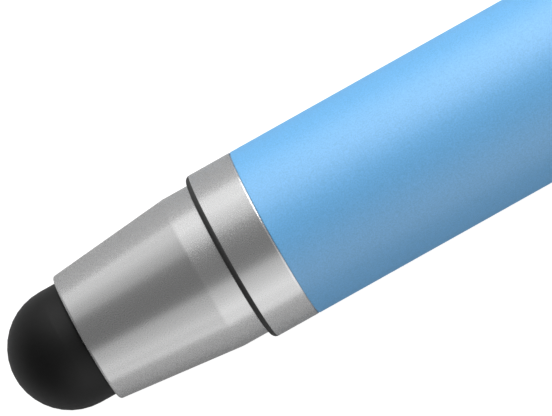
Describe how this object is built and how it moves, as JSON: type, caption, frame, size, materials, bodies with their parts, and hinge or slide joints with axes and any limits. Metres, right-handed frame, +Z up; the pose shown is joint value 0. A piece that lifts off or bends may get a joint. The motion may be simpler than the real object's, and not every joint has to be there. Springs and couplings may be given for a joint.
{
  "type": "stylus pen",
  "caption": "Metal stylus pen for touch screens with a hollow rubber nib, a screw-off nose, a blue tube barrel and a spring pocket clip held by the end cap.",
  "frame": {"origin": "tip of the rubber nib, on the pen's axis", "axes": "+X runs along the pen's axis from the nib to the end cap; +Z is up when the pen lies on a table on its barrel and the edge of its clip; the clip points out to -Y and a little down"},
  "size_m": [0.12, 0.0116, 0.009],
  "materials": {
    "nib_rubber": "smooth black conductive silicone rubber, satin",
    "turned_brass": "plain turned brass",
    "satin_silver": "turned metal with a satin silver plating",
    "gasket_rubber": "black rubber, slightly glossy",
    "blue_barrel": "light blue anodised aluminium tube, fine satin blast",
    "clip_steel": "spring steel strip, satin silver plating"
  },
  "bodies": {
    "pen_body": {"barrel": "blue_barrel", "front_collar": "satin_silver", "rear_collar": "satin_silver", "nose_gasket": "gasket_rubber", "clip_ring": "clip_steel"},
    "core": {"nib_core": "turned_brass"},
    "nose": {"nose_cone": "satin_silver", "rubber_nib": "nib_rubber"},
    "cap_seal": {"cap_gasket": "gasket_rubber"},
    "cap": {"end_cap": "satin_silver"},
    "clip_spring": {"clip_arm": "clip_steel"}
  },
  "joints": [
    {"name": "nose_travel", "type": "slide", "parent": "pen_body", "child": "core", "axis": [-1, 0, 0], "range_m": [0, 0.0035]},
    {"name": "nose_turn", "type": "hinge", "parent": "core", "child": "nose", "pos_m": [0.008, 0, 0], "axis": [-1, 0, 0], "range_deg": [0, 2530]},
    {"name": "cap_travel", "type": "slide", "parent": "pen_body", "child": "cap_seal", "axis": [1, 0, 0], "range_m": [0, 0.0049]},
    {"name": "cap_turn", "type": "hinge", "parent": "cap_seal", "child": "cap", "pos_m": [0.118, 0, 0], "axis": [1, 0, 0], "range_deg": [0, 2530]},
    {"name": "clip_flex", "type": "hinge", "parent": "pen_body", "child": "clip_spring", "pos_m": [0.11445, -0.00637, -0.00265], "axis": [0, -0.3846, 0.9231], "range_deg": [0, 5], "stiffness_Nm_per_rad": 3, "springref_deg": -1.15}
  ],
  "couplings": [
    {"joint": "nose_turn", "follows": "nose_travel", "rad_per_m": 12566},
    {"joint": "cap_turn", "follows": "cap_travel", "rad_per_m": 8976}
  ]
}
